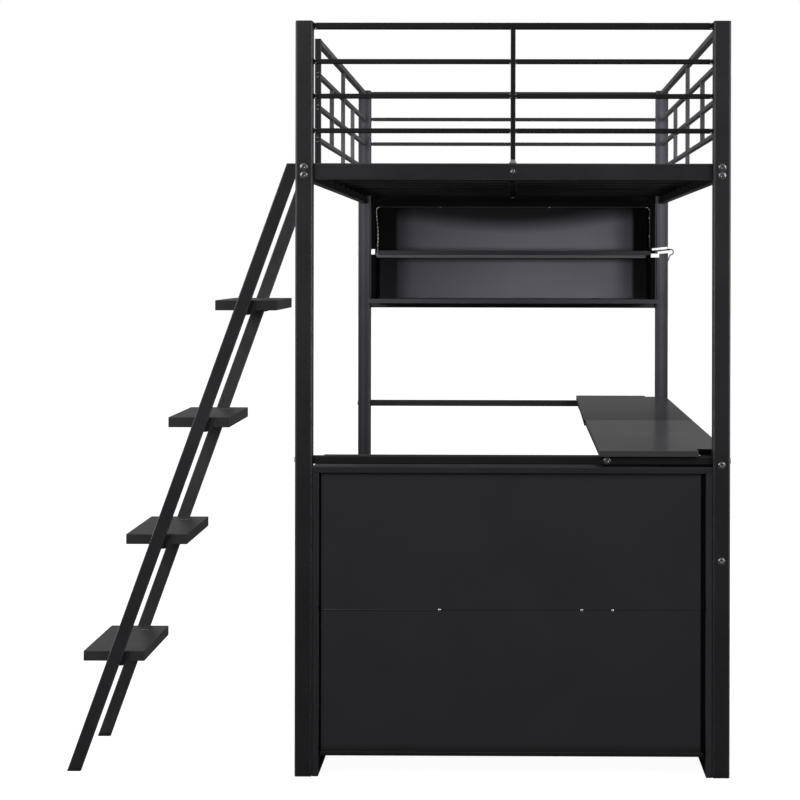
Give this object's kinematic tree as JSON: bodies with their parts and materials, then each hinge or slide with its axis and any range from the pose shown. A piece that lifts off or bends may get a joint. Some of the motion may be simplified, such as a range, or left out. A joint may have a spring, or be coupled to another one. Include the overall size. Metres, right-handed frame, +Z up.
{
  "type": "loft bed with desk",
  "caption": "Steel loft bed with a slatted deck, guard rails, a slanted ladder, a full-length desk, a bookcase, a hung shelf unit and a strip light",
  "frame": {"origin": "on the floor under the centre of the whole object's box, the ladder included and the free lead left out", "axes": "+Z up, +Y along the bed from the bookcase end to the hung shelf end, +X across it from the ladder side to the desk side"},
  "size_m": [1.6246, 2.0102, 1.83],
  "materials": {
    "steel": "satin black powder coat",
    "foot_plastic": "matt black moulded plastic",
    "desk_board": "dark grey fine-grain laminate",
    "shelf_board": "black laminate with faint grain",
    "back_panel": "dark grey painted hardboard",
    "tread_board": "dark grey laminate",
    "led_strip": "dark flexible strip with pale diodes and white connectors",
    "lead": "black flexible lead and plug"
  },
  "bodies": {
    "root": {"post_near_left": "steel", "post_near_right": "steel", "post_far_left": "steel", "post_far_right": "steel", "guard_near": "steel", "guard_far": "steel", "guard_left": "steel", "guard_right": "steel", "deck_rail_near": "steel", "deck_rail_far": "steel", "deck_rail_left": "steel", "deck_rail_right": "steel", "deck_centre_beam": "steel", "slat_1": "steel", "slat_2": "steel", "slat_3": "steel", "slat_4": "steel", "slat_5": "steel", "slat_6": "steel", "slat_7": "steel", "slat_8": "steel", "slat_9": "steel", "slat_10": "steel", "desk_rail_near": "steel", "desk_rail_far": "steel", "desk_rail_wall": "steel", "desk_beam_inner": "steel", "lower_stretcher": "steel", "shelf_support_rail": "steel", "ladder_stringer_near": "steel", "ladder_stringer_far": "steel", "foot_near_left": "foot_plastic", "foot_near_right": "foot_plastic", "foot_far_left": "foot_plastic", "foot_far_right": "foot_plastic", "ladder_foot_near": "foot_plastic", "ladder_foot_far": "foot_plastic", "desk_board_near": "desk_board", "desk_board_far": "desk_board", "bookcase_side_left": "shelf_board", "bookcase_side_right": "shelf_board", "bookcase_top": "shelf_board", "bookcase_middle": "shelf_board", "bookcase_bottom": "shelf_board", "shelf_side_left": "shelf_board", "shelf_side_right": "shelf_board", "shelf_top": "shelf_board", "shelf_middle": "shelf_board", "shelf_bottom": "shelf_board", "bookcase_back_upper": "back_panel", "bookcase_back_lower": "back_panel", "shelf_back": "back_panel", "ladder_tread_1": "tread_board", "ladder_tread_2": "tread_board", "ladder_tread_3": "tread_board", "ladder_tread_4": "tread_board", "led_strip": "led_strip", "led_lead": "lead", "led_lead_coil": "lead", "led_plug": "lead"}
  },
  "joints": []
}
